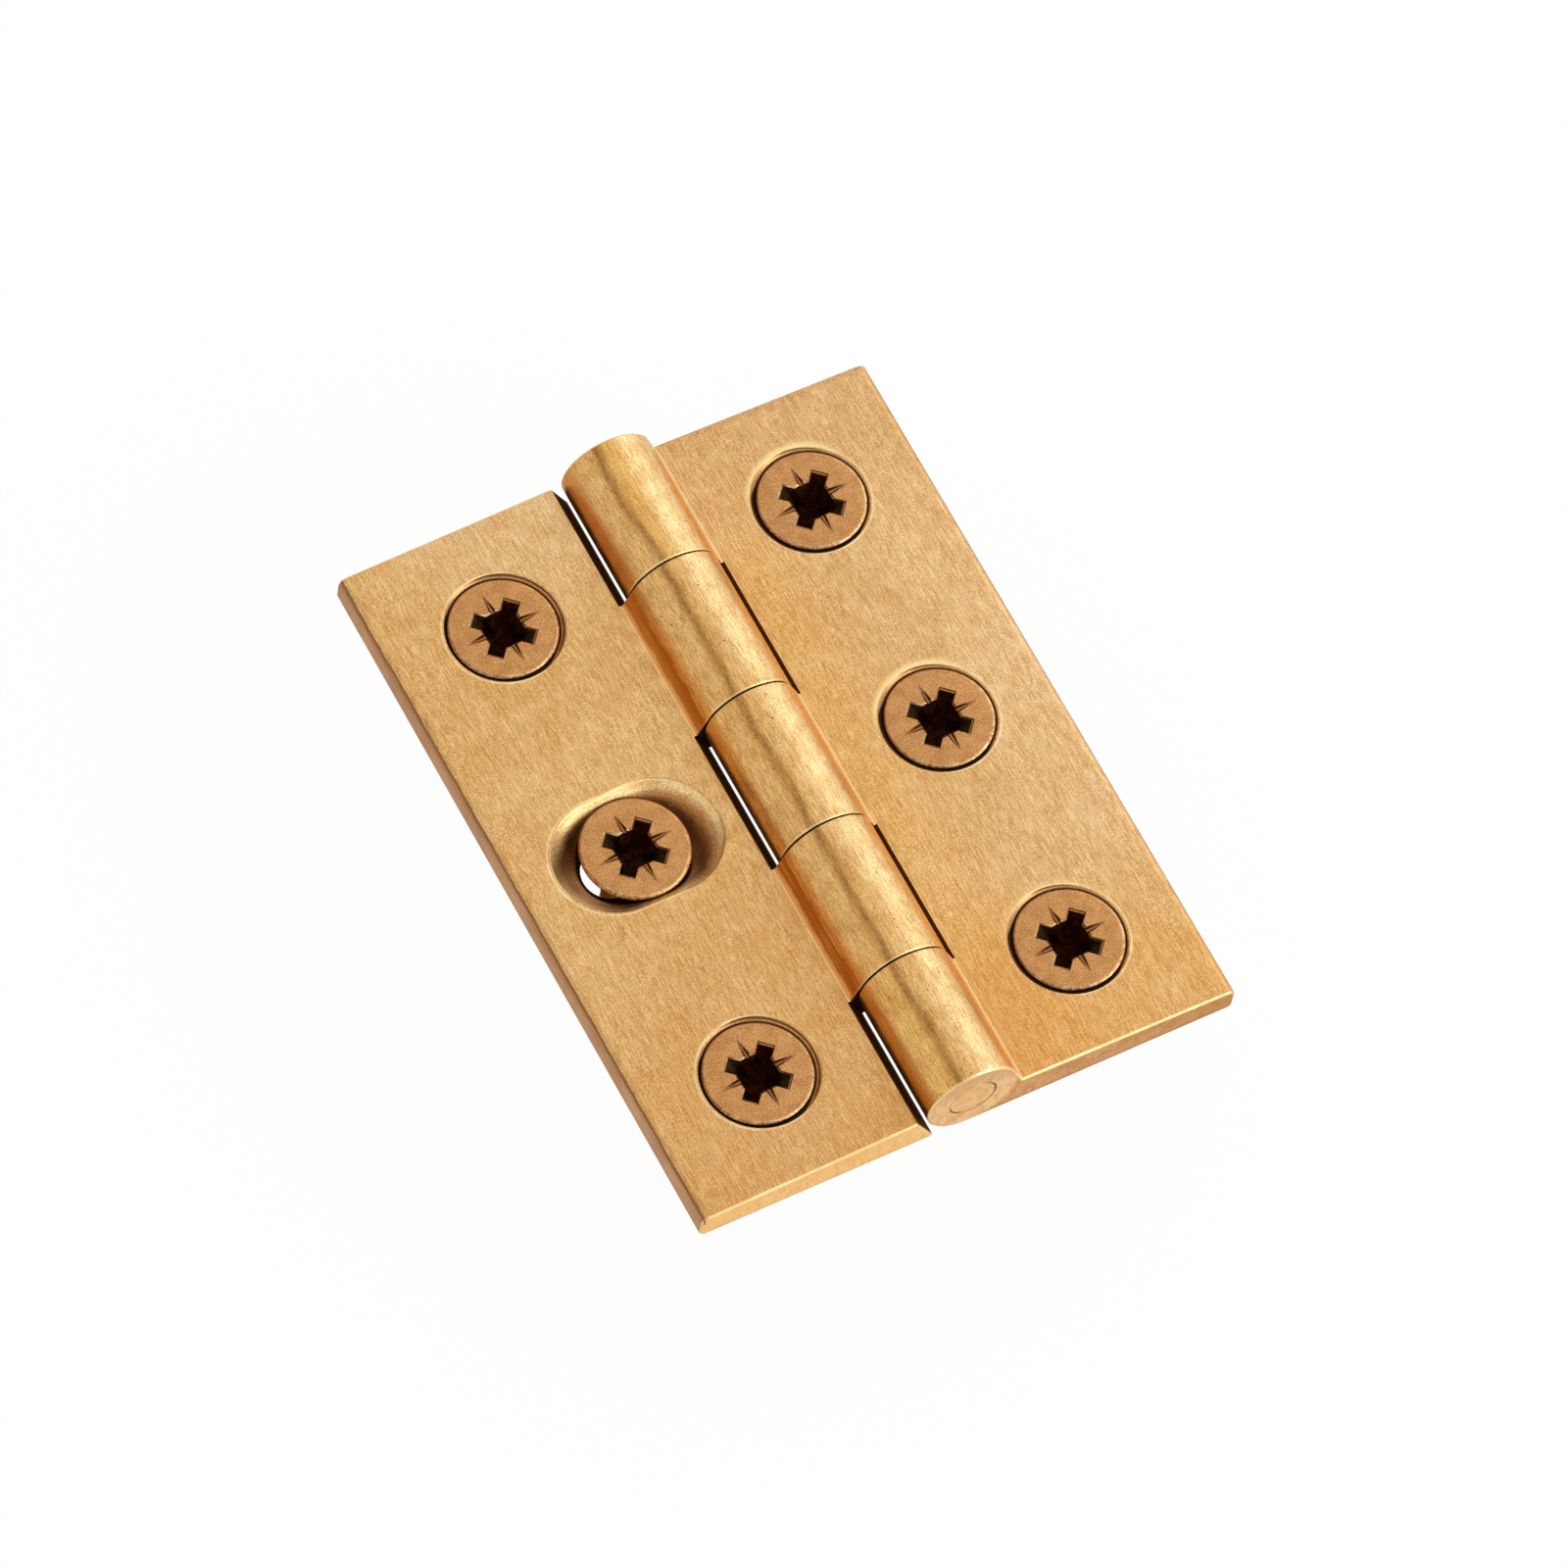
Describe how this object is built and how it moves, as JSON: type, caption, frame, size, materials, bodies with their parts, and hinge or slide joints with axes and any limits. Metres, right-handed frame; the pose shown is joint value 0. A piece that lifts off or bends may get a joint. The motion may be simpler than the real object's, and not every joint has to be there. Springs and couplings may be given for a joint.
{
  "type": "butt hinge with countersunk screws",
  "caption": "Solid drawn brass butt hinge with a knuckled barrel, a fixed pin, an adjusting slot and countersunk cross-recessed wood screws, for cabinet and box doors.",
  "frame": {"origin": "on the plane of the leaves' backs, below the pin's axis and half way along the pin", "axes": "+X across the frame leaf, away from the barrel; +Y along the pin; +Z out of the countersunk faces"},
  "size_m": [0.038, 0.05, 0.0202],
  "materials": {
    "frame_leaf": "aged brushed",
    "door_leaf": "aged brushed",
    "hinge_pin": "aged satin",
    "screws": "aged satin"
  },
  "bodies": {
    "frame": {"frame_leaf": "frame_leaf", "hinge_pin": "hinge_pin", "frame_leaf_screw_front": "screws", "frame_leaf_screw_middle": "screws", "frame_leaf_screw_back": "screws"},
    "door": {"door_leaf": "door_leaf", "door_leaf_screw_front": "screws", "door_leaf_screw_middle": "screws", "door_leaf_screw_back": "screws"}
  },
  "joints": [
    {"name": "hinge", "type": "hinge", "parent": "frame", "child": "door", "pos_m": [0, 0, 0.00315], "axis": [0, 1, 0], "range_deg": [-63, 185.5]}
  ]
}
